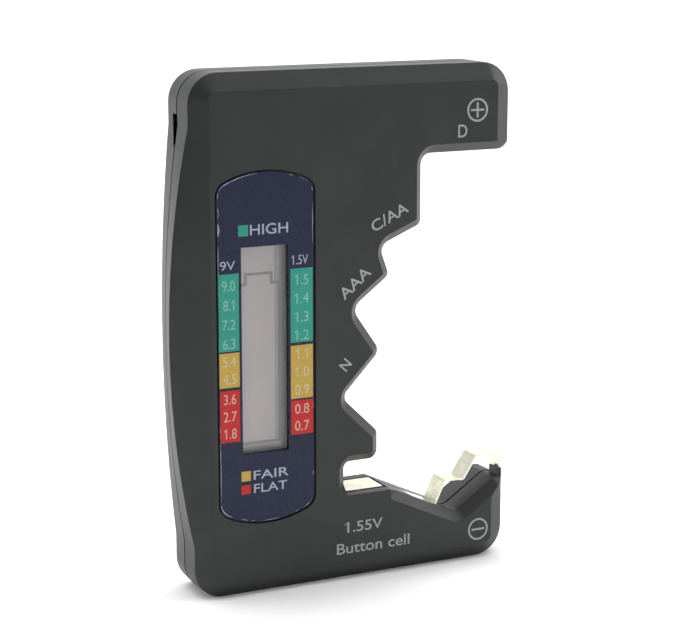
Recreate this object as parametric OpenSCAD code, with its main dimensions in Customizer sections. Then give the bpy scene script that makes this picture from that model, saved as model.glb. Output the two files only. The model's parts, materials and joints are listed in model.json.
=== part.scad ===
// Pocket battery tester: a two-shell case with a stepped jaw, a bent spring contact and an LCD scale.
// X runs to the right, Y from the front face to the back, Z up. The case stands on its bottom edge,
// with the origin at the middle of that edge.

/* [Case] */
// Width of the case over its rounded grip side
case_w = 67.8; // [67.4:0.2:68.4]
// Height of the case
case_h = 95; // [94.5:0.5:97]
// Thickness of the case
case_t = 12.5; // [12.3:0.1:13.5]
// Thickness of the shell walls
wall = 1.8; // [1.4:0.1:2]
// Radius of the four outer corners
corner_r = 5.5; // [4:0.5:6]
// How far the grip side swells past the straight side
grip_bulge = 4.1; // [3:0.1:4.2]
// Width of the front bevel along the straight sides
bevel_w = 3.2; // [2.6:0.1:3.3]
// Depth of the front bevel
bevel_d = 1.9; // [1.5:0.1:2]
// Width of the chamfer along the jaw
jaw_chamfer_w = 1.7; // [1.2:0.1:1.8]

/* [Display] */
// Width of the printed panel
panel_w = 18.5; // [17.5:0.5:19]
// Height of the printed panel over its arched ends
panel_h = 63.9; // [62:0.1:64]
// Width of the display window
window_w = 9; // [8:0.1:9.4]
// Height of the display window
window_h = 37.7; // [36:0.1:38]

/* [Contacts] */
// Thickness of the contact strip metal
strip_t = 0.35; // [0.25:0.05:0.4]
// Width of the spring contact
spring_w = 4.6; // [4:0.1:4.8]
// Width of the fixed jaw contacts
jaw_contact_w = 4.4; // [3.6:0.1:4.8]
// Distance between the two block battery contacts
snap_pitch = 12.7; // [12.5:0.1:13]

/* [Hidden] */

// Case depth stations
front_y = -case_t / 2;
back_y = case_t / 2;
edge_y = front_y + bevel_d;
rear_edge_d = 1.2;
rear_edge_y = back_y - rear_edge_d;
front_skin = 1.85;
rear_skin = 1.65;

// Straight sides at the front edge and, with the moulding draft, at the parting line
draft = 0.2;
right_x = case_w / 2;
left_x = -case_w / 2 + grip_bulge;
seam_bulge = grip_bulge * 0.71;
seam_w = 0.45;
seam_d = 0.6;
rear_bulge = grip_bulge * 0.47;
bulge_z0 = 9.9;
bulge_z1 = 85.6;

// Jaw opening, as corners [x, z, corner radius], from the spring post round to the arm
floor_z = 16.35;
hook_z = 22.33;
slot_x = -0.12;
arm_z = 78.85;
post_top = [31.9, 15.2];
valley = [23.4, 9.46];
ramp_top = [8.8, floor_z];
hook_x = 6.74;
n_root = [-0.5, 34.67];
n_tip = [7.3, 42.85];
aaa_root = [1.55, 51.2];
aaa_tip = [9.1, 56.9];
c_root = [7.1, 62.4];
c_tip = [15.5, 65.9];
tip_r = 2.4;
beyond = 40;
jaw_upper = [[hook_x, hook_z, 1.7], [hook_x, 27.6, 1.5], [n_root.x, n_root.y, 1.6],
             [n_tip.x, n_tip.y, 1.8], [aaa_root.x, aaa_root.y, 2.1], [aaa_tip.x, aaa_tip.y, 1.2],
             [c_root.x, c_root.y, 2], [c_tip.x, c_tip.y, 1.2], [c_tip.x, arm_z, 2],
             [right_x, arm_z, tip_r], [right_x, arm_z + tip_r, 0], [beyond, arm_z + tip_r, 0]];
jaw = concat([[beyond, post_top.y, 0], [post_top.x, post_top.y, 1.2], [valley.x, valley.y, 1.8],
              [ramp_top.x, ramp_top.y, 0.5], [slot_x, floor_z, 0.3], [slot_x, hook_z, 1.3]], jaw_upper);
// The chamfer along the jaw leaves the slot floor sharp
chamfer_floor_z = floor_z + jaw_chamfer_w;
ramp_slope = (ramp_top.y - valley.y) / (ramp_top.x - valley.x);
chamfer_start_x = ramp_top.x + jaw_chamfer_w;
chamfer_jaw = concat([[beyond, post_top.y, 0], [post_top.x, post_top.y, 1.2], [valley.x, valley.y, 1.8],
                      [chamfer_start_x, floor_z + ramp_slope * jaw_chamfer_w, 0],
                      [chamfer_start_x, chamfer_floor_z, 0],
                      [slot_x, chamfer_floor_z, 0], [slot_x, hook_z, 1.3]], jaw_upper);

// Printed panel, its pocket and the display stack, front to back
panel_x = -16.15;
panel_z = 45.7;
panel_arch = 2.5;
panel_corner = 2.5;
panel_gap = 0.35;
panel_t = 0.47;
pocket_y = front_y + 0.57;
window_x = -16.4;
window_z = 45.55;
lens_margin = 0.4;
lens_t = 1.05;
glass_y = front_y + front_skin;
glass_t = 0.7;
glass_w = 12.6;
glass_ledge = 2.4;
reflector_t = 0.2;
board_y = glass_y + 2.55;
board_t = 1;
board_x = -15.6;
board_z = 45.8;
board_w = 23;
board_h = 67;
board_screw_x = 9.6;
board_screw_z = 30;

// Screws: shaft radius, head radius and head height
case_screw = [0.95, 1.9, 1.3];
board_screw = [0.75, 1.5, 0.9];
case_screw_len = 7.4;
case_posts = [[-25.2, 7.6], [-24.4, 87], [27.4, 87.6], [27.6, 5.6]];
boss_r = 2.6;

// Spring contact: it lies along the ramp, bends up at the root and ends in a leg inside the post
spring_y0 = -3.6;
spring_y1 = spring_y0 + spring_w;
leg_w = 3.6;
leg_x = right_x - 0.2;
root = [19.6, 11.05];
spring_path = [[root.x, root.y, 0], [21.75, 15.55, 0.45], [24.7, 15.55, 0.8], [25.75, 15.3, 0.7],
               [28.5, 19.6, 0.45], [leg_x, 19.2, 0.4], [leg_x, 18.2, 0]];
leg_path = [[leg_x, 18.3, 0], [leg_x, 16.3, 0]];
leg_room = 0.3;
leg_slot_z = 11.2;
guard_x = 32.75;
guard_y = edge_y;
guard_z = 16.9;
clip_end_z = 12.6;
base_path = [[9.75, clip_end_z, 0], [9.75, 15.6, 0.4], [root.x - 0.45, root.y + 0.22, 0]];

// Block battery contacts on the back
snap_x = 12;
snap_z = 87;
snap_rim_r = 4.1;
snap_rim_d = 0.5;

$fn = 48;

// ---------------------------------------------------------------- outlines

function unit(v) = v / norm(v);

// Arc that rounds corner b of the path a, b, c, where each corner is [x, z, radius]
function corner_arc(a, b, c) =
    let (u = unit([a.x - b.x, a.y - b.y]), v = unit([c.x - b.x, c.y - b.y]),
         half = acos(max(-1, min(1, u * v))) / 2)
    b.z == 0 || half > 89.5 ? [[b.x, b.y]] :
    let (centre = [b.x, b.y] + unit(u + v) * b.z / sin(half),
         from = [b.x, b.y] + u * b.z / tan(half) - centre,
         to = [b.x, b.y] + v * b.z / tan(half) - centre,
         start = atan2(from.y, from.x),
         turn = atan2(to.y, to.x) - start,
         sweep = turn > 180 ? turn - 360 : (turn < -180 ? turn + 360 : turn),
         steps = max(3, ceil(abs(sweep) / 12)))
    [for (i = [0:steps]) centre + b.z * [cos(start + sweep * i / steps), sin(start + sweep * i / steps)]];

// Closed outline with its corners rounded
function rounded(pts) =
    [for (i = [0:len(pts) - 1])
        for (p = corner_arc(pts[(i + len(pts) - 1) % len(pts)], pts[i], pts[(i + 1) % len(pts)])) p];

// Open path with its inner corners rounded
function rounded_path(pts) =
    [for (i = [0:len(pts) - 1])
        for (p = i == 0 || i == len(pts) - 1 ? [[pts[i].x, pts[i].y]]
                 : corner_arc(pts[i - 1], pts[i], pts[i + 1])) p];

// A path moved sideways by d, to the left of its direction, with concentric corners
function shifted(pts, d) =
    [for (i = [0:len(pts) - 1])
        let (here = [pts[i].x, pts[i].y],
             u = i == 0 ? unit([pts[1].x, pts[1].y] - here) : unit(here - [pts[i - 1].x, pts[i - 1].y]),
             v = i == len(pts) - 1 ? u : unit([pts[i + 1].x, pts[i + 1].y] - here),
             n = [-u.y, u.x], m = [-v.y, v.x],
             at = here + (n + m) * d / (1 + n * m),
             bend = u.x * v.y - u.y * v.x)
        [at.x, at.y, pts[i].z == 0 ? 0 : max(0.02, pts[i].z - sign(bend) * d)]];

function reversed(pts) = [for (i = [len(pts) - 1:-1:0]) pts[i]];

// Outline of a bent strip of thickness t along a path
function ribbon(pts, t) =
    concat(rounded_path(shifted(pts, t / 2)), reversed(rounded_path(shifted(pts, -t / 2))));

// Arc that swells to the left of the line x between two heights
function swell(x, z0, z1, bulge, steps) =
    let (half = (z1 - z0) / 2, r = (half * half + bulge * bulge) / (2 * bulge), a = asin(half / r))
    [for (i = [0:steps])
        let (t = -a + 2 * a * i / steps) [x - bulge + r - r * cos(t), (z0 + z1) / 2 + r * sin(t)]];

// Outline of the case between x0 and x1, z0 and z1, with round corners and the swollen grip side
function case_outline(x0, x1, z0, z1, bulge, r) =
    let (bl = [x0, z0, r], tl = [x0, z1, r], tr = [x1, z1, r], br = [x1, z0, r])
    concat(corner_arc(br, bl, tl), swell(x0, bulge_z0, bulge_z1, bulge, 28),
           corner_arc(bl, tl, tr), corner_arc(tl, tr, br), corner_arc(tr, br, bl));

// ---------------------------------------------------------------- helpers

// Extrudes an X-Z outline from depth y0 to depth y1
module slab(y0, y1) {
    translate([0, y1, 0])
        rotate([90, 0, 0])
            linear_extrude(y1 - y0)
                children();
}

// Wedge swept along an open path, which takes a chamfer w wide off its left side between y0 and y1
module groove(path, w, y0, y1) {
    past = 0.25;
    inner = rounded_path(shifted(path, -w * past));
    outer = rounded_path(shifted(path, w * (1 + past)));
    low = y0 + (y0 - y1) * past;
    high = y1 + (y1 - y0) * past;
    n = len(inner);
    polyhedron(
        points = concat([for (p = inner) [p.x, low, p.y]], [for (p = outer) [p.x, high, p.y]],
                        [for (p = inner) [p.x, high, p.y]]),
        faces = concat([[0, n, 2 * n], [n - 1, 3 * n - 1, 2 * n - 1]],
                       [for (i = [0:n - 2]) [i, i + 1, n + i + 1]],
                       [for (i = [0:n - 2]) [i, n + i + 1, n + i]],
                       [for (i = [0:n - 2]) [n + i, n + i + 1, 2 * n + i + 1]],
                       [for (i = [0:n - 2]) [n + i, 2 * n + i + 1, 2 * n + i]],
                       [for (i = [0:n - 2]) [i + 1, i, 2 * n + i]],
                       [for (i = [0:n - 2]) [i + 1, 2 * n + i, 2 * n + i + 1]]));
}

// Solid skinned over layers from front to back, each [y, outline], with as many points in each outline
module skin(layers) {
    n = len(layers[0][1]);
    last = len(layers) - 1;
    polyhedron(
        points = [for (layer = layers) for (p = layer[1]) [p.x, layer[0], p.y]],
        faces = concat([[for (i = [0:n - 1]) i]],
                       [[for (i = [n - 1:-1:0]) last * n + i]],
                       [for (j = [0:last - 1]) for (i = [0:n - 1])
                           [j * n + i, (j + 1) * n + i, (j + 1) * n + (i + 1) % n]],
                       [for (j = [0:last - 1]) for (i = [0:n - 1])
                           [j * n + i, (j + 1) * n + (i + 1) % n, j * n + (i + 1) % n]]));
}

// Box from its low corner to its high corner
module box(low, high) {
    translate(low)
        cube(high - low);
}

// Round bar along Y at [x, z]
module bar(at, y0, y1, r) {
    translate([at.x, y0, at.y])
        rotate([-90, 0, 0])
            cylinder(r = r, h = y1 - y0);
}

// Bent strip of metal along an X-Z path
module strip(path, y0, y1, t = strip_t) {
    slab(y0, y1)
        polygon(ribbon(path, t));
}

// Bent strip lying flush on the jaw wall from a to b, with two tabs folded into the case
function clip_path(a, b, from, to, depth) =
    let (u = unit(b - a), inward = [u.y, -u.x],
         p = a + (b - a) * from, q = a + (b - a) * to,
         out_p = p + inward * strip_t / 2, out_q = q + inward * strip_t / 2,
         in_p = p + inward * depth, in_q = q + inward * depth)
    [[in_p.x, in_p.y, 0], [out_p.x, out_p.y, 0.4], [out_q.x, out_q.y, 0.4], [in_q.x, in_q.y, 0]];

tab = 3.3;
d_clip = clip_path([31.3, arm_z], [17, arm_z], 0.12, 0.72, tab);
c_clip = clip_path(c_tip, c_root, 0.2, 0.7, tab);
aaa_clip = clip_path(aaa_tip, aaa_root, 0.2, 0.68, tab);
n_clip = clip_path(n_tip, n_root, 0.3, 0.75, tab);
hook_clip = clip_path([hook_x, hook_z], [slot_x, hook_z], 0.28, 0.8, tab);
jaw_clips = [d_clip, c_clip, aaa_clip, n_clip, hook_clip];
clip_y0 = -jaw_contact_w / 2;
clip_y1 = jaw_contact_w / 2;

// Button cell plate: it lies in a pocket in the slot floor, on one leg
plate_y0 = -3.3;
plate_y1 = 2.9;
plate_z = floor_z - 0.25;
plate_path = [[0.9, clip_end_z, 0], [0.9, plate_z, 0.4], [8.6, plate_z, 0]];
plate_pocket = [[slot_x, -4.3, floor_z - 1], [9.45, 3.2, floor_z + 1]];
metal_room = 0.1;

// Through-section of the case, inset from its outside
module inside_outline(inset) {
    offset(delta = -inset)
        difference() {
            polygon(case_outline(left_x - draft, right_x, 0, case_h, seam_bulge, corner_r));
            polygon(rounded(jaw));
        }
}

// Everything the metal parts and the jaw take out of both shells
module jaw_cuts() {
    slab(front_y - 1, back_y + 1)
        polygon(rounded(jaw));
    for (path = jaw_clips)
        strip(path, clip_y0 - metal_room / 2, clip_y1 + metal_room / 2, strip_t + metal_room);
    box(plate_pocket[0], plate_pocket[1]);
    strip([plate_path[0], plate_path[1]], plate_y0 - metal_room, plate_y1 + metal_room,
          strip_t + 2 * metal_room);
    strip(base_path, spring_y0 - metal_room, spring_y1 + metal_room, strip_t + metal_room);
    bar(root, spring_y0 - leg_room, spring_y1 + leg_room, strip_t / 2 + leg_room);
    leg_slot();
}

// Room for the free end of the spring leg
module leg_slot() {
    box([leg_x - strip_t / 2 - leg_room, spring_y0 - leg_room, leg_slot_z],
        [beyond, spring_y0 + leg_w + leg_room, guard_z + 1]);
}

// ---------------------------------------------------------------- case

// Solid front half, bevelled round the flat face and chamfered along the jaw
module front_block() {
    difference() {
        union() {
            skin([[front_y, case_outline(left_x + bevel_w, right_x - draft - bevel_w, bevel_w,
                                         case_h - bevel_w, 0.01, 1.2)],
                  [edge_y, case_outline(left_x, right_x - draft, 0, case_h, grip_bulge, corner_r)],
                  [0, case_outline(left_x - draft, right_x, 0, case_h, seam_bulge, corner_r)]]);
            // The bevel runs out towards the top of the post
            hull() {
                slab(front_y, front_y + 0.01)
                    polygon([[29, 10.5], [right_x - draft - bevel_w, 11.4], [32.1, 15.9], [29, 15.9]]);
                slab(edge_y - 0.01, edge_y)
                    polygon([[29, 10.5], [right_x - draft, 10.5], [right_x - draft, 15.9], [29, 15.9]]);
            }
        }
        groove(chamfer_jaw, jaw_chamfer_w, edge_y, front_y);
    }
}

// Printed panel outline, with arched ends and rounded corners
module panel_outline(grow) {
    arch_r = (panel_w * panel_w / 4 + panel_arch * panel_arch) / (2 * panel_arch);
    offset(r = panel_corner + grow, $fn = 40)
        offset(delta = -panel_corner)
            intersection() {
                translate([panel_x, panel_z])
                    square([panel_w, panel_h], center = true);
                hull()
                    for (side = [-1, 1])
                        translate([panel_x, panel_z + side * (panel_h / 2 - arch_r)])
                            circle(arch_r, $fn = 96);
            }
}

module window_cut(w, h, y0, y1) {
    box([window_x - w / 2, y0, window_z - h / 2], [window_x + w / 2, y1, window_z + h / 2]);
}

// The four places where the board is screwed down
module at_board_screws() {
    for (sx = [-1, 1], sz = [-1, 1])
        translate([board_x + sx * board_screw_x, 0, board_z + sz * board_screw_z])
            children();
}

module front_shell() {
    color([0.25, 0.26, 0.255])
    difference() {
        union() {
            difference() {
                front_block();
                slab(glass_y, 1)
                    inside_outline(wall);
            }
            // Rim that holds the display glass
            difference() {
                window_cut(glass_w + 2, lcd_h + 2, glass_y - 0.1, glass_y + 1.2);
                window_cut(glass_w + 0.2, lcd_h + 0.2, glass_y - 1, glass_y + 2);
            }
            at_board_screws()
                bar([0, 0], glass_y - 0.1, board_y, 1.8);
            for (at = case_posts)
                bar(at, glass_y - 0.1, 0, boss_r);
        }
        slab(front_y - 1, pocket_y)
            panel_outline(panel_gap);
        window_cut(window_w + 2 * lens_margin + 0.1, window_h + 2 * lens_margin + 0.1,
                   front_y - 1, glass_y + 0.5);
        jaw_cuts();
        at_board_screws()
            bar([0, 0], glass_y + 0.4, board_y + 1, board_screw[0] - 0.1);
        for (at = case_posts)
            bar(at, glass_y + 0.3, 1, case_screw[0] - 0.12);
    }
    // Guard round the free end of the spring leg, with a shallow recess in its front
    color([0.25, 0.26, 0.255])
    difference() {
        box([guard_x, guard_y, post_top.y - 2], [right_x - draft, -1.3, guard_z]);
        leg_slot();
        box([guard_x + 0.45, guard_y - 1, post_top.y], [guard_x + 0.8, guard_y + 0.2, guard_z - 0.4]);
    }
}

module rear_block() {
    difference() {
        skin([[0, case_outline(left_x - draft, right_x, 0, case_h, seam_bulge, corner_r)],
              [rear_edge_y, case_outline(left_x, right_x - draft, 0, case_h, rear_bulge, corner_r)],
              [back_y, case_outline(left_x + rear_edge_d, right_x - draft - rear_edge_d, rear_edge_d,
                                    case_h - rear_edge_d, rear_bulge, corner_r - 1)]]);
        mirror([0, 1, 0])
            groove(jaw, rear_edge_d, -rear_edge_y, -back_y);
    }
}

module rear_shell() {
    head_y = back_y - 0.3 - case_screw[2];
    color([0.24, 0.25, 0.245])
    difference() {
        union() {
            difference() {
                rear_block();
                slab(-1, back_y - rear_skin)
                    inside_outline(wall);
            }
            for (at = case_posts)
                bar(at, 0, back_y - 1, boss_r);
        }
        jaw_cuts();
        // Shadow line round the parting line
        slab(-1, seam_w)
            difference() {
                translate([0, case_h / 2])
                    square([2 * beyond, case_h + 10], center = true);
                inside_outline(seam_d);
            }
        // Slot in the parting line of the grip side, wider inside
        translate([left_x, 0, 82])
            linear_extrude(5.6)
                polygon([[-5, -1], [-5, 1.2], [-0.5, 1.2], [0.6, 4.2], [wall + 0.5, 4.2], [wall + 0.5, -1]]);
        for (at = case_posts) {
            bar(at, -1, back_y, case_screw[0] + 0.15);
            bar(at, head_y, back_y + 1, case_screw[1] + 0.15);
        }
        for (side = [-1, 1])
            translate([snap_x + side * snap_pitch / 2, 0, snap_z]) {
                bar([0, 0], back_y - snap_rim_d, back_y + 1, snap_rim_r);
                box([-2.6, back_y - snap_rim_d - strip_t, -2.6], [2.6, back_y, 2.6]);
                for (end = [-1, 1])
                    box([-1.6, 0, end * 2.25 - 0.35], [1.6, back_y, end * 2.25 + 0.35]);
            }
    }
}

// Countersunk-cross pan screw along Y, with its head at the back
module screw(at, size, len, head_y) {
    difference() {
        union() {
            bar(at, head_y - len, head_y + 0.01, size[0]);
            bar(at, head_y, head_y + size[2], size[1]);
        }
        for (turn = [0, 90])
            translate([at.x, head_y + size[2], at.y])
                rotate([0, turn, 0])
                    cube([size[1] * 1.2, size[2], size[1] * 0.28], center = true);
    }
}

module case_screws() {
    color([0.7, 0.7, 0.72])
    for (at = case_posts)
        screw(at, case_screw, case_screw_len, back_y - 0.3 - case_screw[2]);
}

// ---------------------------------------------------------------- display

lcd_h = window_h + 4.6;
lcd_top = window_z + lcd_h / 2;
lcd_bottom = window_z - lcd_h / 2;

module label_panel() {
    color([0.19, 0.21, 0.31])
    difference() {
        slab(pocket_y - panel_t, pocket_y)
            panel_outline(0);
        window_cut(window_w, window_h, front_y - 1, 0);
    }
}

module window_lens() {
    color([0.75, 0.76, 0.75, 0.5])
    window_cut(window_w + 2 * lens_margin, window_h + 2 * lens_margin, pocket_y, pocket_y + lens_t);
}

module lcd_front_glass() {
    color([0.62, 0.64, 0.62, 0.6])
    window_cut(glass_w, lcd_h, glass_y, glass_y + glass_t);
}

module lcd_rear_glass() {
    color([0.6, 0.62, 0.6, 0.6])
    box([window_x - glass_w / 2, glass_y + glass_t, lcd_bottom + glass_ledge],
        [window_x + glass_w / 2, glass_y + 2 * glass_t, lcd_top]);
}

module lcd_reflector() {
    color([0.66, 0.65, 0.63])
    box([window_x - glass_w / 2, glass_y + 2 * glass_t, lcd_bottom + glass_ledge],
        [window_x + glass_w / 2, glass_y + 2 * glass_t + reflector_t, lcd_top]);
}

module zebra_strip() {
    color([0.3, 0.3, 0.33])
    box([window_x - glass_w / 2 + 0.6, glass_y + glass_t, lcd_bottom + 0.2],
        [window_x + glass_w / 2 - 0.6, board_y, lcd_bottom + glass_ledge - 0.3]);
}

// ---------------------------------------------------------------- circuit

board_back = board_y + board_t;

module circuit_board() {
    color([0.1, 0.35, 0.2])
    difference() {
        box([board_x - board_w / 2, board_y, board_z - board_h / 2],
            [board_x + board_w / 2, board_back, board_z + board_h / 2]);
        at_board_screws()
            bar([0, 0], board_y - 1, board_back + 1, board_screw[0] + 0.15);
    }
}

module chip_cap() {
    color([0.06, 0.06, 0.06])
    translate([board_x, board_back, board_z - 6])
        rotate([-90, 0, 0]) {
            cylinder(r1 = 5, r2 = 4.1, h = 0.9);
            translate([0, 0, 0.9])
                cylinder(r1 = 4.1, r2 = 2.2, h = 0.6);
        }
}

module board_resistors() {
    color([0.12, 0.12, 0.13])
    for (row = [0:1], i = [0:5])
        translate([board_x - 8 + i * 3, board_back, board_z + 8 + row * 4])
            cube([1.6, 0.5, 0.9]);
}

module board_capacitors() {
    color([0.62, 0.5, 0.36])
    for (i = [0:2])
        translate([board_x - 7 + i * 6, board_back, board_z - 22])
            cube([2, 1, 1.3]);
}

module board_screws() {
    color([0.72, 0.72, 0.7])
    at_board_screws()
        screw([0, 0], board_screw, 3.4, board_back);
}

// ---------------------------------------------------------------- contacts

nickel = [0.86, 0.85, 0.78];

module jaw_contact(path) {
    color(nickel)
    strip(path, clip_y0, clip_y1);
}

module contact_d() {
    jaw_contact(d_clip);
}

module contact_c_aa() {
    jaw_contact(c_clip);
}

module contact_aaa() {
    jaw_contact(aaa_clip);
}

module contact_n() {
    jaw_contact(n_clip);
}

module button_cell_contact() {
    jaw_contact(hook_clip);
}

module button_cell_plate() {
    color(nickel)
    strip(plate_path, plate_y0, plate_y1);
}

module spring_base() {
    color(nickel)
    strip(base_path, spring_y0, spring_y1);
}

module spring_contact() {
    color(nickel) {
        strip(spring_path, spring_y0, spring_y1);
        strip(leg_path, spring_y0, spring_y0 + leg_w);
        bar(root, spring_y0, spring_y1, strip_t / 2);
    }
}

// Cap for one terminal of a block battery, with two legs folded into the case
module snap_contact(side) {
    top_y = back_y - snap_rim_d;
    color(nickel)
    translate([snap_x + side * snap_pitch / 2, 0, snap_z]) {
        box([-2.5, top_y - strip_t, -2.5], [2.5, top_y, 2.5]);
        for (end = [-1, 1])
            box([-1.5, top_y - 3.2, end * 2.25 - strip_t / 2], [1.5, top_y, end * 2.25 + strip_t / 2]);
    }
}

module snap_contact_plus() {
    snap_contact(-1);
}

module snap_contact_minus() {
    snap_contact(1);
}

// ---------------------------------------------------------------- leads

lead_w = 0.9;
lead_y = board_back;
pad_x = board_x + board_w / 2 - 1.2;

// Lead laid flat behind the board through the points [x, z]
module lead(pts) {
    strip([for (p = pts) [p.x, p.y, 0]], lead_y, lead_y + lead_w, lead_w);
}

// End of a lead that rises to a contact at the back
module riser(at) {
    bar(at, lead_y, back_y - snap_rim_d - 2.4, lead_w / 2 + 0.1);
}

module positive_leads() {
    snap_end = [snap_x - snap_pitch / 2, snap_z - 2.25 - strip_t / 2 - lead_w / 2 - 0.1];
    color([0.7, 0.12, 0.1]) {
        for (end = [c_clip[3], aaa_clip[3], n_clip[3], hook_clip[3]])
            lead([[end.x - strip_t / 2, end.y], [pad_x, end.y]]);
        lead([[d_clip[3].x - strip_t / 2, d_clip[3].y], [13, 82.6], [6, 79], [pad_x, 72.5]]);
        lead([snap_end, [pad_x - 4.2, 78]]);
        riser(snap_end);
    }
}

module negative_leads() {
    snap_end = [snap_x + snap_pitch / 2, snap_z - 2.25 - strip_t / 2 - lead_w / 2 - 0.1];
    color([0.08, 0.08, 0.09]) {
        lead([[base_path[0].x + strip_t / 2, clip_end_z - lead_w / 2], [0, clip_end_z - lead_w / 2],
              [pad_x, 14]]);
        lead([snap_end, [10, 90.2], [-6, 84.5], [-12, 78]]);
        riser(snap_end);
    }
}

front_shell();
rear_shell();
label_panel();
window_lens();
lcd_front_glass();
lcd_rear_glass();
lcd_reflector();
zebra_strip();
circuit_board();
chip_cap();
board_resistors();
board_capacitors();
board_screws();
case_screws();
contact_d();
contact_c_aa();
contact_aaa();
contact_n();
button_cell_contact();
button_cell_plate();
spring_base();
spring_contact();
snap_contact_plus();
snap_contact_minus();
positive_leads();
negative_leads();
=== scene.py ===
"""Battery tester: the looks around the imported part.

Lengths in the lists below are millimetres in the part's own frame: [x, z] on the front, y into the object.
"""

import json
import math
import random

import bmesh
import bpy
from mathutils import Matrix, Vector


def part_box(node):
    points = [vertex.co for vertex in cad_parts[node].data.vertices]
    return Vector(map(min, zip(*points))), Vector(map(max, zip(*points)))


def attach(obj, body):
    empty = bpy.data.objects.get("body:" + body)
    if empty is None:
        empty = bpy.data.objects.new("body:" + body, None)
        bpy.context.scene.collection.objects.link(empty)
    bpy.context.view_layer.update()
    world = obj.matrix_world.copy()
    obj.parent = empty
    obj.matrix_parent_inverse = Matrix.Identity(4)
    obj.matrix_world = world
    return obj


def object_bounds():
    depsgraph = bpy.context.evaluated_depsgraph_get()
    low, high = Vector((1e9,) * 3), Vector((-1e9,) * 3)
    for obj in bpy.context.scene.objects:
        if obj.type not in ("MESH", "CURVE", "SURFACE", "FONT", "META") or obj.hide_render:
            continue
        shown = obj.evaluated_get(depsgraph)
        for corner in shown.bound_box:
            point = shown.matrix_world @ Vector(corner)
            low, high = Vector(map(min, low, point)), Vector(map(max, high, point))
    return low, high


MM = 0.001
WELD = 0.00001 * MM
FILM = 0.02  # thickness of the coloured fields and the display's marks
MARK = 0.03  # thickness of the lettering and signs
SUNK = 0.004  # how far a printed piece reaches into the face it is on
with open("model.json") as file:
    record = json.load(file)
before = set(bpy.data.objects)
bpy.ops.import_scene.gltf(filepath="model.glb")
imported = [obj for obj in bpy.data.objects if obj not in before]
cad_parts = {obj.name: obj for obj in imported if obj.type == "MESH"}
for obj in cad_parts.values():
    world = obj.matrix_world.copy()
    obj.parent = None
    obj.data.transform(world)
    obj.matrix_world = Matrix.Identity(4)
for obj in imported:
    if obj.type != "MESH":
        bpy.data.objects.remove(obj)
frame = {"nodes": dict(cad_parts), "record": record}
nodes = frame["nodes"]
cad_low, cad_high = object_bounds()
scene = bpy.context.scene
scene.view_settings.view_transform = "Standard"


# ---------------------------------------------------------------- shader helpers
class Shader:
    """A principled material with a few helpers that add and link nodes."""

    def __init__(self, name, colour, roughness, metallic=0.0, **sockets):
        self.material = bpy.data.materials.new(name)
        self.material.use_nodes = True
        self.tree = self.material.node_tree
        self.bsdf = self.tree.nodes["Principled BSDF"]
        self.put(self.bsdf, "Base Color", colour)
        self.put(self.bsdf, "Roughness", roughness)
        self.put(self.bsdf, "Metallic", metallic)
        for socket, value in sockets.items():
            self.put(self.bsdf, socket, value)
        self.where = self.tree.nodes.new("ShaderNodeTexCoord").outputs["Object"]

    def put(self, node, socket, value):
        target = node.inputs[socket]
        if isinstance(value, bpy.types.NodeSocket):
            self.tree.links.new(value, target)
        elif isinstance(value, tuple) and len(value) == 3 and target.type == "RGBA":
            target.default_value = (*value, 1.0)
        else:
            target.default_value = value

    def add(self, kind, output, settings=None, **sockets):
        """New node's output. A socket is given by its name, or by _ and its number."""
        node = self.tree.nodes.new(kind)
        for key, value in (settings or {}).items():
            setattr(node, key, value)
        for socket, value in sockets.items():
            self.put(node, int(socket[1:]) if socket[0] == "_" and socket[1:].isdigit() else socket, value)
        return node.outputs[output]

    def noise(self, per_mm, detail=3.0, rough=0.55, stretch=(1, 1, 1), seed=0.0):
        moved = self.add(
            "ShaderNodeMapping", 0, _0=self.where, _1=(seed, seed * 0.7, seed * 1.3),
            _3=tuple(per_mm / MM * s for s in stretch),
        )
        return self.add("ShaderNodeTexNoise", "Fac", Vector=moved, Scale=1.0, Detail=detail, Roughness=rough)

    def ramp(self, value, low, high, to_low=0.0, to_high=1.0):
        return self.add("ShaderNodeMapRange", 0, _0=value, _1=low, _2=high, _3=to_low, _4=to_high)

    def math(self, operation, a, b=0.0):
        return self.add("ShaderNodeMath", 0, {"operation": operation}, _0=a, _1=b)

    def mix(self, factor, a, b):
        node = self.tree.nodes.new("ShaderNodeMix")
        node.data_type = "RGBA"
        self.put(node, 0, factor)
        self.put(node, 6, a)
        self.put(node, 7, b)
        return node.outputs[2]

    def bump(self, height, strength, depth_mm, normal=None):
        node = self.tree.nodes.new("ShaderNodeBump")
        self.put(node, "Strength", strength)
        self.put(node, "Distance", depth_mm * MM)
        self.put(node, "Height", height)
        if normal is not None:
            self.put(node, "Normal", normal)
        return node.outputs[0]

    def round_edges(self, radius_mm):
        return self.add("ShaderNodeBevel", 0, {"samples": 6}, Radius=radius_mm * MM)


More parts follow.
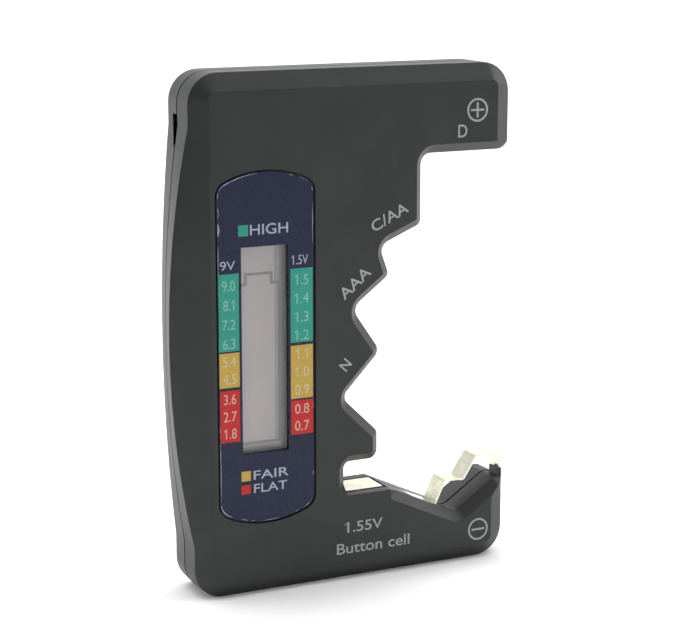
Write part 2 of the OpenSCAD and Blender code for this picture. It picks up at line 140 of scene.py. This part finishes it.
def case_plastic():
    """Dark spark-textured plastic with a fine speckle, faint scuffs and slightly rounded edges."""
    s = Shader("case_plastic", (0.022, 0.0235, 0.0228), 0.5)
    s.bsdf.inputs["Specular IOR Level"].default_value = 0.45
    grain = s.noise(7.0, 2.0, 0.6)
    blotch = s.noise(0.12, 3.0, 0.5, seed=3.0)
    speck = s.ramp(s.noise(11.0, 1.0, 0.4, seed=7.0), 0.66, 0.8)
    scuff = s.ramp(s.noise(0.35, 4.0, 0.75, stretch=(1, 1, 0.25), seed=11.0), 0.62, 0.86)
    base = s.mix(s.ramp(blotch, 0.3, 0.7), (0.0132, 0.0156, 0.0146), (0.0188, 0.0216, 0.0202))
    base = s.mix(s.math("MULTIPLY", speck, 0.5), base, (0.07, 0.073, 0.07))
    base = s.mix(s.math("MULTIPLY", scuff, 0.25), base, (0.055, 0.057, 0.055))
    s.put(s.bsdf, "Base Color", base)
    gloss = s.math("ADD", s.math("MULTIPLY", grain, 0.5), scuff)
    s.put(s.bsdf, "Roughness", s.ramp(gloss, 0.2, 1.0, 0.47, 0.35))
    s.put(s.bsdf, "Normal", s.bump(grain, 0.3, 0.03, s.round_edges(0.15)))
    return s.material


def panel_print():
    """Glossy dark blue film with a faint waviness, dust specks and hairline scratches."""
    s = Shader("panel_print", (0.03, 0.035, 0.078), 0.2)
    s.bsdf.inputs["Specular IOR Level"].default_value = 0.22
    specks = s.ramp(s.noise(2.6, 2.0, 0.5, seed=5.0), 0.74, 0.8)
    tone = s.noise(0.06, 2.0, 0.5, seed=9.0)
    base = s.mix(s.ramp(tone, 0.3, 0.7), (0.0125, 0.0192, 0.044), (0.0165, 0.0196, 0.052))
    base = s.mix(s.math("MULTIPLY", specks, 0.6), base, (0.1, 0.11, 0.17))
    s.put(s.bsdf, "Base Color", base)
    s.put(s.bsdf, "Roughness", s.ramp(s.noise(0.5, 4.0, 0.6, seed=1.0), 0.3, 0.7, 0.24, 0.34))
    s.put(s.bsdf, "Normal", s.bump(s.noise(1.2, 3.0, 0.5), 0.04, 0.02, s.round_edges(0.1)))
    return s.material


def ink(name, colour, worn, roughness=0.42, grain=0.35):
    """Screen-printed ink: slightly uneven, thin in places so that the ground shows through."""
    s = Shader(name, colour, roughness)
    s.bsdf.inputs["Specular IOR Level"].default_value = 0.3
    thin = s.ramp(s.noise(3.0, 3.0, 0.6, seed=2.0), 0.5, 0.78)
    cloud = s.ramp(s.noise(0.5, 2.0, 0.5, seed=4.0), 0.3, 0.7)
    base = s.mix(s.math("MULTIPLY", thin, grain), colour, worn)
    base = s.mix(s.math("MULTIPLY", cloud, 0.2), base, tuple(c * 0.72 for c in colour))
    s.put(s.bsdf, "Base Color", base)
    s.put(s.bsdf, "Roughness", s.ramp(thin, 0.0, 1.0, roughness, roughness + 0.12))
    s.put(s.bsdf, "Normal", s.bump(s.noise(5.0, 2.0, 0.5), 0.1, 0.01))
    return s.material


def nickel():
    """Nickel plated spring strip: drawn grain along its length, a warm tint and a few dull patches."""
    s = Shader("nickel", (0.78, 0.75, 0.65), 0.24, 1.0)
    drawn = s.noise(3.0, 3.0, 0.6, stretch=(0.25, 3.0, 0.25), seed=1.0)
    patch = s.ramp(s.noise(0.35, 3.0, 0.55, seed=6.0), 0.45, 0.75)
    base = s.mix(patch, (0.76, 0.74, 0.61), (0.74, 0.705, 0.565))
    s.put(s.bsdf, "Base Color", base)
    s.put(s.bsdf, "Roughness", s.ramp(s.math("ADD", drawn, patch), 0.4, 1.5, 0.24, 0.34))
    s.put(s.bsdf, "Normal", s.bump(drawn, 0.08, 0.01, s.round_edges(0.06)))
    return s.material


def clear_window():
    """Clear sheet with a faint waviness: it passes what it doesn't reflect."""
    roughness = 0.06
    s = Shader("clear_window", (0.95, 0.95, 0.95), roughness, 1.0)
    s.put(s.bsdf, "Roughness", s.ramp(s.noise(0.8, 3.0, 0.6), 0.3, 0.7, roughness, roughness + 0.03))
    s.put(s.bsdf, "Normal", s.bump(s.noise(0.6, 2.0, 0.5, seed=2.0), 0.03, 0.01))
    s.bsdf.inputs["Alpha"].default_value = 0.05
    return s.material


def simple(name, colour, roughness, metallic=0.0, other=None, per_mm=1.0, relief=0.1):
    """Plain material with an uneven tone, roughness and relief."""
    s = Shader(name, colour, roughness, metallic)
    tone = s.noise(per_mm, 3.0, 0.6)
    second = other or tuple(c * 0.8 for c in colour)
    s.put(s.bsdf, "Base Color", s.mix(s.ramp(tone, 0.3, 0.7), colour, second))
    s.put(s.bsdf, "Roughness", s.ramp(tone, 0.3, 0.7, roughness, min(1.0, roughness + 0.12)))
    s.put(s.bsdf, "Normal", s.bump(s.noise(per_mm * 4, 2.0), relief, 0.02))
    return s.material


MATERIALS = {
    "case_plastic": case_plastic(),
    "panel_print": panel_print(),
    "nickel": nickel(),
    "clear_window": clear_window(),
    "lcd_glass": simple("lcd_glass", (0.362, 0.32, 0.314), 0.35, 0.0, (0.33, 0.298, 0.292), 0.12, 0.03),
    "lcd_backing": simple("lcd_backing", (0.66, 0.615, 0.605), 0.45, 0.0, (0.61, 0.58, 0.57), 0.15, 0.05),
    "zebra_rubber": simple("zebra_rubber", (0.03, 0.03, 0.032), 0.6),
    "board": simple("board", (0.02, 0.13, 0.05), 0.3, 0.0, (0.015, 0.1, 0.04), 0.4),
    "epoxy": simple("epoxy", (0.01, 0.01, 0.01), 0.25),
    "resistor": simple("resistor", (0.02, 0.02, 0.022), 0.4),
    "capacitor": simple("capacitor", (0.3, 0.2, 0.11), 0.45),
    "screw_steel": simple("screw_steel", (0.6, 0.6, 0.62), 0.3, 1.0, (0.5, 0.5, 0.53), 2.0),
    "red_lead": simple("red_lead", (0.42, 0.02, 0.015), 0.4),
    "black_lead": simple("black_lead", (0.02, 0.02, 0.022), 0.4),
}
for part in frame["record"]["subparts"]:
    mesh = nodes[part["node"]].data
    mesh.materials.clear()
    mesh.materials.append(MATERIALS[part["material_slot"]])


def soft_shading(degrees):
    """Node group that welds a mesh and shades it smooth across the edges flatter than some degrees."""
    group = bpy.data.node_groups.new("soft_shading", "GeometryNodeTree")
    for side in ("INPUT", "OUTPUT"):
        group.interface.new_socket("Geometry", in_out=side, socket_type="NodeSocketGeometry")
    chain = [
        group.nodes.new(kind)
        for kind in (
            "NodeGroupInput", "GeometryNodeMergeByDistance", "GeometryNodeSetShadeSmooth",
            "GeometryNodeSetShadeSmooth", "NodeGroupOutput",
        )
    ]
    for before, after in zip(chain, chain[1:]):
        group.links.new(before.outputs[0], after.inputs[0])
    weld, faces, edges = chain[1:4]
    weld.inputs["Distance"].default_value = WELD
    faces.inputs["Shade Smooth"].default_value = True
    edges.domain = "EDGE"
    flatter = group.nodes.new("FunctionNodeCompare")
    flatter.operation = "LESS_THAN"
    flatter.inputs[1].default_value = math.radians(degrees)
    angle = group.nodes.new("GeometryNodeInputMeshEdgeAngle")
    group.links.new(angle.outputs["Unsigned Angle"], flatter.inputs[0])
    group.links.new(flatter.outputs[0], edges.inputs["Shade Smooth"])
    return group


# The round corners of the shells come as facets 12 degrees apart
soft = soft_shading(14.0)
for name in ("front_shell", "rear_shell"):
    nodes[name].modifiers.new("soft_shading", "NODES").node_group = soft
    weighted = nodes[name].modifiers.new("weighted", "WEIGHTED_NORMAL")
    weighted.keep_sharp = True

# ---------------------------------------------------------------- printed marks
FRONT = cad_low.y / MM
PANEL_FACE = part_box("label_panel")[0].y / MM
LCD_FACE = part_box("lcd_front_glass")[0].y / MM
WHITE_INK = ink("white_ink", (0.35, 0.395, 0.395), (0.2, 0.22, 0.22), 0.5, 0.5)
PANEL_WHITE = ink("panel_white", (0.39, 0.42, 0.52), (0.24, 0.26, 0.34), 0.35, 0.5)
GREEN = ink("green_ink", (0.024, 0.3, 0.225), (0.05, 0.36, 0.29), 0.3, 0.5)
YELLOW = ink("yellow_ink", (0.53, 0.345, 0.058), (0.56, 0.42, 0.14), 0.3, 0.5)
RED = ink("red_ink", (0.52, 0.014, 0.013), (0.45, 0.035, 0.03), 0.3, 0.5)
GREEN_TEXT = ink("green_text", (0.24, 0.5, 0.44), (0.12, 0.36, 0.3), 0.35, 0.6)
YELLOW_TEXT = ink("yellow_text", (0.6, 0.52, 0.34), (0.54, 0.42, 0.16), 0.35, 0.7)
RED_TEXT = ink("red_text", (0.66, 0.42, 0.37), (0.5, 0.16, 0.13), 0.35, 0.5)
SEGMENT = simple("lcd_segment", (0.125, 0.115, 0.11), 0.35, 0.0, (0.14, 0.13, 0.125), 0.5)
# Painted shade for the display's recess: a darker step and a lighter step
DISPLAY_SHADE_DARK = simple("display_shade_dark", (0.16, 0.165, 0.155), 0.45, 0.0, (0.14, 0.145, 0.135), 0.5)
DISPLAY_SHADE_LIGHT = simple("display_shade_light", (0.235, 0.23, 0.225), 0.45, 0.0, (0.21, 0.205, 0.2), 0.5)
GASKET = simple("gasket", (0.1, 0.105, 0.098), 0.55, 0.0, (0.085, 0.09, 0.085), 0.8)


def mesh_of(curve, name):
    """The filled, extruded curve as a mesh lying in the X-Y plane, with its thickness along Z."""
    carrier = bpy.data.objects.new(name, curve)
    scene.collection.objects.link(carrier)
    bpy.context.view_layer.update()
    graph = bpy.context.evaluated_depsgraph_get()
    mesh = bpy.data.meshes.new_from_object(carrier.evaluated_get(graph))
    bpy.data.objects.remove(carrier)
    mesh.name = name
    return mesh


def outline_mesh(name, loops, thickness):
    """Flat plate from closed loops of [x, z]: a loop inside another is a hole."""
    curve = bpy.data.curves.new(name, "CURVE")
    curve.dimensions = "2D"
    curve.fill_mode = "BOTH"
    curve.extrude = thickness / 2
    for loop in loops:
        spline = curve.splines.new("POLY")
        spline.points.add(len(loop) - 1)
        for point, (x, z) in zip(spline.points, loop):
            point.co = (x, z, 0, 1)
        spline.use_cyclic_u = True
    return mesh_of(curve, name)


def flag_ones(mesh, half):
    """Adds the slanting flag of each figure 1, which the font draws as a plain bar, to letters of size 1."""
    tall, narrow = 0.5, 0.2  # a piece taller and narrower than this is a figure 1
    lap, reach = 0.01, 0.15  # how far the flag goes into the bar, and how far out to its left
    shape = bmesh.new()
    shape.from_mesh(mesh)
    left = set(shape.verts)
    bars = set()
    while left:
        island = [left.pop()]
        for vert in island:
            for edge in vert.link_edges:
                other = edge.other_vert(vert)
                if other in left:
                    left.remove(other)
                    island.append(other)
        xs, ys = [v.co.x for v in island], [v.co.y for v in island]
        if max(ys) - min(ys) > tall and max(xs) - min(xs) < narrow:
            bars.add((round(min(xs), 3), round(max(ys), 3)))
    for x, top in sorted(bars):
        loop = [(x + lap, top), (x - reach, top - 0.13), (x - reach, top - 0.21), (x + lap, top - 0.1)]
        front, back = ([shape.verts.new((a, b, z)) for a, b in loop] for z in (half, -half))
        shape.faces.new(front)
        shape.faces.new(back[::-1])
        for i in range(4):
            shape.faces.new((front[i], back[i], back[(i + 1) % 4], front[(i + 1) % 4]))
    shape.to_mesh(mesh)
    shape.free()


def text_mesh(name, words, bold=0.0):
    """Words in letters of size 1, extruded to a thickness of 1."""
    curve = bpy.data.curves.new(name, "FONT")
    curve.body = words
    curve.size = 1.0
    curve.offset = bold
    curve.extrude = 0.5
    curve.resolution_u = 6
    mesh = mesh_of(curve, name)
    if "1" in words:
        flag_ones(mesh, curve.extrude)
    return mesh


def place(name, mesh, material, face_y, thickness, matrix=None):
    """Stands a flat mesh, drawn in millimetres, on a face that looks towards -Y."""
    upright = Matrix(((1, 0, 0, 0), (0, 0, -1, face_y - thickness / 2 + SUNK), (0, 1, 0, 0), (0, 0, 0, 1)))
    mesh.transform(Matrix.Scale(MM, 4) @ upright @ (matrix or Matrix.Identity(4)))
    mesh.materials.clear()
    mesh.materials.append(material)
    piece = bpy.data.objects.new(name, mesh)
    scene.collection.objects.link(piece)
    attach(piece, "case")
    return piece


def plate(name, loops, material, face_y, thickness=FILM):
    """Flat piece drawn as closed loops, on a face that looks towards -Y."""
    return place(name, outline_mesh(name, loops, thickness), material, face_y, thickness)


def span(mesh):
    """Lowest and highest X of a flat mesh, then its lowest and highest Y."""
    xs = [v.co.x for v in mesh.vertices]
    ys = [v.co.y for v in mesh.vertices]
    return min(xs), max(xs), min(ys), max(ys)


def fitted(mesh, centre, scale, turn=0.0):
    """Matrix that scales a text mesh, turns it by some degrees and brings its middle to [x, z]."""
    x0, x1, y0, y1 = span(mesh)
    return (
        Matrix.Translation((centre[0], centre[1], 0))
        @ Matrix.Rotation(math.radians(turn), 4, "Z")
        @ Matrix.Diagonal((scale[0], scale[1], MARK, 1))
        @ Matrix.Translation((-(x0 + x1) / 2, -(y0 + y1) / 2, 0))
    )


def lettering(name, words, low, high, material, face_y, bold, turn=0.0):
    """Words drawn to fill the box from low to high, [x, z], turned by some degrees about its middle."""
    mesh = text_mesh(name, words, bold)
    x0, x1, y0, y1 = span(mesh)
    scale = ((high[0] - low[0]) / (x1 - x0), (high[1] - low[1]) / (y1 - y0))
    middle = ((low[0] + high[0]) / 2, (low[1] + high[1]) / 2)
    return place(name, mesh, material, face_y, MARK, fitted(mesh, middle, scale, turn))


def figures_at(name, figures, centre, material, width, height):
    """Figures centred on [x, z], all to the scale at which "0.0" has the given width and height."""
    x0, x1, y0, y1 = span(text_mesh(name, "0.0"))
    scale = (width / (x1 - x0), height / (y1 - y0))
    mesh = text_mesh(name, figures)
    matrix = fitted(mesh, centre, scale)
    return place(name, mesh, material, PANEL_FACE - FILM, MARK, matrix)


def block(low, high):
    return [(low[0], low[1]), (high[0], low[1]), (high[0], high[1]), (low[0], high[1])]


def circle(centre, r, steps=64):
    return [
        (centre[0] + r * math.cos(2 * math.pi * i / steps), centre[1] + r * math.sin(2 * math.pi * i / steps))
        for i in range(steps)
    ]


def cross(centre, arm, half):
    """Outline of a plus sign with four arms of a length and a half width."""
    points = []
    corner = [(-arm, -half), (-half, -half), (-half, -arm)]
    for _ in range(4):
        points += [(centre[0] + x, centre[1] + z) for x, z in corner]
        corner = [(-z, x) for x, z in corner]
    return points


# Coloured cells: side, colour, low and high corner [x, z], and the figures from the top down
COLUMNS = [
    ("left_high", GREEN, GREEN_TEXT, (-25.3, 46.0), (-21.4, 59.9), ["9.0", "8.1", "7.2", "6.3"]),
    ("left_mid", YELLOW, YELLOW_TEXT, (-25.25, 39.4), (-21.4, 45.7), ["5.4", "4.5"]),
    ("left_low", RED, RED_TEXT, (-25.2, 29.35), (-21.4, 38.85), ["3.6", "2.7", "1.8"]),
    ("right_high", GREEN, GREEN_TEXT, (-11.45, 46.4), (-7.1, 59.9), ["1.5", "1.4", "1.3", "1.2"]),
    ("right_mid", YELLOW, YELLOW_TEXT, (-11.45, 36.0), (-7.1, 45.85), ["1.1", "1.0", "0.9"]),
    ("right_low", RED, RED_TEXT, (-11.45, 29.3), (-7.1, 35.65), ["0.8", "0.7"]),
]
figure_share, figure_h = 0.64, 1.85  # a figure's width as a share of its cell, and its height
for side, colour, text_colour, low, high, figures in COLUMNS:
    plate("cell_" + side, [block(low, high)], colour, PANEL_FACE)
    step = (high[1] - low[1]) / len(figures)
    figure_w = (high[0] - low[0]) * figure_share
    drop = 0.4 if "high" in side else 0.0
    for i, figure in enumerate(figures):
        centre = ((low[0] + high[0]) / 2, high[1] - step * (i + 0.5) - drop)
        figures_at(f"figure_{side}_{i}", figure, centre, text_colour, figure_w, figure_h)

for name, words, low, high, bold in [
    ("head_left", "9V", (-24.9, 60.6), (-22.05, 62.2), 0.0),
    ("head_right", "1.5V", (-11.2, 60.6), (-8.0, 62.3), 0.0),
    ("legend_high", "HIGH", (-19.15, 66.5), (-11.85, 68.4), 0.006),
    ("legend_mid", "FAIR", (-18.9, 21.85), (-12.0, 23.5), 0.006),
    ("legend_low", "FLAT", (-18.85, 19.35), (-12.3, 21.0), 0.006),
]:
    lettering(name, words, low, high, PANEL_WHITE, PANEL_FACE, bold)
for name, colour, low, high in [
    ("key_high", GREEN, (-21.4, 66.4), (-19.5, 68.4)),
    ("key_mid", YELLOW, (-21.25, 21.75), (-19.45, 23.6)),
    ("key_low", RED, (-21.3, 19.3), (-19.5, 21.0)),
]:
    plate(name, [block(low, high)], colour, PANEL_FACE)

# Marks on the case
for name, words, low, high, turn in [
    ("mark_d", "D", (22.2, 81.6), (24.1, 83.95), 0),
    ("mark_c_aa", "C/AA", (4.3, 66.85), (12.15, 68.95), 26),
    ("mark_aaa", "AAA", (-2.3, 55.25), (4.8, 57.4), 40),
    ("mark_n", "N", (-1.5, 40.2), (0.3, 42.3), 48),
    ("mark_volt", "1.55V", (-0.72, 9.15), (7.1, 11.15), 0),
    ("mark_button", "Button cell", (-2.35, 5.1), (12.8, 7.2), 0),
]:
    lettering(name, words, low, high, WHITE_INK, FRONT, 0.007, turn)

for name, centre, plus in [("mark_plus", (26.2, 86.5), True), ("mark_minus", (27.65, 5.9), False)]:
    ring_outer, ring_inner, arm, half = 2.17, 1.8, 1.38, 0.19
    x, z = centre
    sign = cross(centre, arm, half) if plus else block((x - arm, z - half), (x + arm, z + half))
    loops = [circle(centre, ring_outer), circle(centre, ring_inner), sign]
    plate(name, loops, WHITE_INK, FRONT, MARK)

# ---------------------------------------------------------------- display
lens_low, lens_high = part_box("window_lens")
lens_lap = 0.4
win_left, win_foot = lens_low.x / MM + lens_lap, lens_low.z / MM + lens_lap
win_right, win_head = lens_high.x / MM - lens_lap, lens_high.z / MM - lens_lap

# The segments lie inside the glass: seen through it, they sit a little to the left and up
symbol_x = (win_left + win_right) / 2 - 0.5
symbol_line = 0.5


def battery_outline(inset):
    """Outline of the battery symbol, moved inwards by inset."""
    x, nub, body = symbol_x, 2.75 - inset, 4.2 - inset
    top, shoulder, bottom = win_head - 4.95 - inset, win_head - 6.75 - inset, win_foot + 1.28 + inset
    return [
        (x - body, bottom), (x + body, bottom), (x + body, shoulder), (x + nub, shoulder),
        (x + nub, top), (x - nub, top), (x - nub, shoulder), (x - body, shoulder),
    ]


plate("battery_symbol", [battery_outline(0.0), battery_outline(symbol_line)], SEGMENT, LCD_FACE)

# Gasket between the window and the display, just clear of both
gasket_front, gasket_back = lens_high.y / MM + 0.02, LCD_FACE - 0.03
gasket_w = 0.35
gasket_loops = [
    block((win_left - gasket_w, win_foot - gasket_w), (win_right + gasket_w, win_head + gasket_w)),
    block((win_left, win_foot), (win_right, win_head)),
]
gasket_depth = gasket_back - gasket_front
plate("display_gasket", gasket_loops, GASKET, gasket_back - SUNK, gasket_depth)

# Painted shade of the display's recess along its right side and its foot, in two tones, one a little behind
# the other
left, right, base, head = win_left - 0.5, win_right + 0.5, win_foot - 0.4, win_head + 0.4
for name, material, side_w, foot_w, behind in [
    ("display_shade_outer", DISPLAY_SHADE_DARK, 1.45, 1.25, 0.0),
    ("display_shade_inner", DISPLAY_SHADE_LIGHT, 2.45, 1.8, 0.012),
]:
    inner_x, inner_z = right - side_w, base + foot_w
    loop = [(left, base), (right, base), (right, head), (inner_x, head), (inner_x, inner_z), (left, inner_z)]
    plate(name, [loop], material, LCD_FACE + behind)

# ---------------------------------------------------------------- wear and painted highlight
def panel_rim(inset):
    """Outline of the panel as [x, z] points, counter-clockwise from the middle of the right side."""
    low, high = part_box("label_panel")
    x0, x1, z0, z1 = low.x / MM + inset, high.x / MM - inset, low.z / MM + inset, high.z / MM - inset
    arch, corner = 2.5, 2.5
    corner_steps, arch_steps, side_steps = 12, 10, 60
    half, middle_x = (x1 - x0) / 2, (x0 + x1) / 2
    radius = (half * half + arch * arch) / (2 * arch)
    inner = half - corner
    rise = math.sqrt((radius - corner) ** 2 - inner * inner) - (radius - arch)
    reach = math.atan2(inner, rise + radius - arch)
    quarter = []
    for i in range(corner_steps + 1):
        angle = (math.pi / 2 - reach) * i / corner_steps
        quarter.append((inner + corner * math.cos(angle), rise + corner * math.sin(angle)))
    for i in range(1, arch_steps + 1):
        angle = math.pi / 2 - reach * (1 - i / arch_steps)
        quarter.append((radius * math.cos(angle), radius * math.sin(angle) - (radius - arch)))
    top = [(middle_x + x, z1 - arch + z) for x, z in quarter]
    top += [(2 * middle_x - x, z) for x, z in reversed(top[:-1])]
    side_h = z1 - z0 - 2 * arch + 2 * rise
    sides = [(x0, z1 - arch + rise - side_h * i / side_steps) for i in range(1, side_steps)]
    bottom = [(x0 + x1 - x, z0 + z1 - z) for x, z in top]
    back = [(x0 + x1 - x, z0 + z1 - z) for x, z in sides]
    return top + sides + bottom + back


# Pale flecks along the panel's rim: partly wear, partly a painted highlight where the edge catches the light
RIM_WEAR_AND_HIGHLIGHT = simple("worn_rim", (0.4, 0.42, 0.5), 0.5, 0.0, (0.24, 0.25, 0.31), 1.5)
RIM_STEPS = 500  # steps that a fleck would take for the whole way round
rim = panel_rim(0.14)


def rim_point(where):
    """Point of the rim at a fraction of the way round."""
    index = (where % 1.0) * len(rim)
    a, b = rim[int(index) % len(rim)], rim[(int(index) + 1) % len(rim)]
    part = index - int(index)
    return Vector((a[0] + (b[0] - a[0]) * part, a[1] + (b[1] - a[1]) * part))


def fleck(name, start, end, width, dice):
    """Sliver that follows the rim from start to end and swells irregularly."""
    steps = max(3, int((end - start) * RIM_STEPS))
    near, far = [], []
    for i in range(steps + 1):
        where = start + (end - start) * i / steps
        here, ahead = rim_point(where), rim_point(where + 1 / RIM_STEPS)
        along = (ahead - here).normalized()
        side = Vector((-along.y, along.x))
        swell = math.sin(math.pi * (0.04 + 0.92 * i / steps)) ** 0.5
        grow = width * swell * 1.3 * dice.uniform(0.45, 1.0)
        near.append(tuple(here))
        far.append(tuple(here + side * grow))
    plate(name, [near + far[::-1]], RIM_WEAR_AND_HIGHLIGHT, PANEL_FACE)


# Worn flecks with a painted highlight along the rim: stretches of (start, end), as fractions of the way
# round, and their greatest width, then small scattered ones
dice = random.Random(7)
worn = [
    (0.115, 0.188, 0.13), (0.194, 0.213, 0.11), (0.221, 0.231, 0.24), (0.235, 0.247, 0.3), (0.256, 0.29, 0.1),
    (0.3, 0.345, 0.08), (0.44, 0.497, 0.12), (0.5, 0.562, 0.2), (0.6, 0.62, 0.09), (0.65, 0.672, 0.12),
    (0.952, 0.99, 0.1), (0.004, 0.02, 0.12),
]
for i in range(18):
    at = dice.random()
    worn.append((at, at + dice.uniform(0.002, 0.008), dice.uniform(0.06, 0.14)))
for i, (start, end, width) in enumerate(worn):
    fleck(f"worn_rim_{i}", start, end, width, dice)

# ---------------------------------------------------------------- stage
CAMERA_YAW, CAMERA_PITCH = 25.5, 12.05
CAMERA_AT = Vector((-145.6, -307.9, 122.0)) * MM
OBJECT_MIDDLE = Vector((0.0, 0.0, 0.045))


def cyclorama():
    """White floor that curves up into a back wall, square to the camera. Lengths in metres."""
    front, back, radius, wall_top, half_w = -1.6, 0.35, 0.5, 2.2, 2.2
    profile = [(front, 0.0), (back, 0.0)]
    for degrees in range(6, 91, 6):
        a = math.radians(degrees)
        profile.append((back + radius * math.sin(a), radius - radius * math.cos(a)))
    profile.append((back + radius, wall_top))
    turn = Matrix.Rotation(math.radians(-CAMERA_YAW), 4, "Z")
    verts = [turn @ Vector((side * half_w, y, z)) for y, z in profile for side in (-1, 1)]
    faces = [(2 * i, 2 * i + 1, 2 * i + 3, 2 * i + 2) for i in range(len(profile) - 1)]
    mesh = bpy.data.meshes.new("backdrop")
    mesh.from_pydata([tuple(v) for v in verts], [], faces)
    mesh.shade_smooth()
    # The wall glows faintly, so that it stays white behind the object
    s = Shader("backdrop", (0.94, 0.94, 0.94), 0.9)
    height = s.add("ShaderNodeSeparateXYZ", 2, Vector=s.where)
    s.put(s.bsdf, "Emission Color", (1.0, 1.0, 1.0))
    s.put(s.bsdf, "Emission Strength", s.ramp(height, 0.0, 0.12, 0.0, 0.1))
    mesh.materials.append(s.material)
    piece = bpy.data.objects.new("backdrop", mesh)
    scene.collection.objects.link(piece)


cyclorama()
camera_data = bpy.data.cameras.new("camera")
camera_data.lens = 100.06
camera_data.sensor_width = 36
camera_data.clip_start = 0.01
camera = bpy.data.objects.new("camera", camera_data)
camera.matrix_world = (
    Matrix.Translation(CAMERA_AT)
    @ Matrix.Rotation(math.radians(-CAMERA_YAW), 4, "Z")
    @ Matrix.Rotation(math.radians(90 - CAMERA_PITCH), 4, "X")
)
scene.collection.objects.link(camera)
scene.camera = camera

world = bpy.data.worlds.new("world")
world.use_nodes = True
# The room is dim towards the front left and bright behind and to the right
dim, bright = 0.13, 0.72
room = world.node_tree
towards = room.nodes.new("ShaderNodeVectorMath")
towards.operation = "DOT_PRODUCT"
towards.inputs[1].default_value = (0.4, 0.87, 0.3)
room.links.new(room.nodes.new("ShaderNodeTexCoord").outputs["Generated"], towards.inputs[0])
level = room.nodes.new("ShaderNodeMapRange")
for socket, value in zip(level.inputs[1:5], (-1.0, 0.6, dim, bright)):
    socket.default_value = value
room.links.new(towards.outputs["Value"], level.inputs[0])
room.links.new(level.outputs[0], room.nodes["Background"].inputs[1])
room.nodes["Background"].inputs[0].default_value = (1, 1, 1, 1)
scene.world = world


def softbox(name, at, size, power):
    """Rectangular light that faces the object. Lengths in metres, power in watts."""
    data = bpy.data.lights.new(name, "AREA")
    data.shape = "RECTANGLE"
    data.size, data.size_y = size
    data.energy = power
    light = bpy.data.objects.new(name, data)
    light.location = at
    light.rotation_euler = (OBJECT_MIDDLE - Vector(at)).to_track_quat("-Z", "Y").to_euler()
    scene.collection.objects.link(light)


softbox("top", (0.05, 0.18, 0.75), (1.0, 0.8), 7.4)
softbox("left", (-0.62, 0.42, 0.35), (0.5, 0.6), 2.8)
softbox("right", (0.75, -0.2, 0.35), (0.5, 0.6), 3.2)
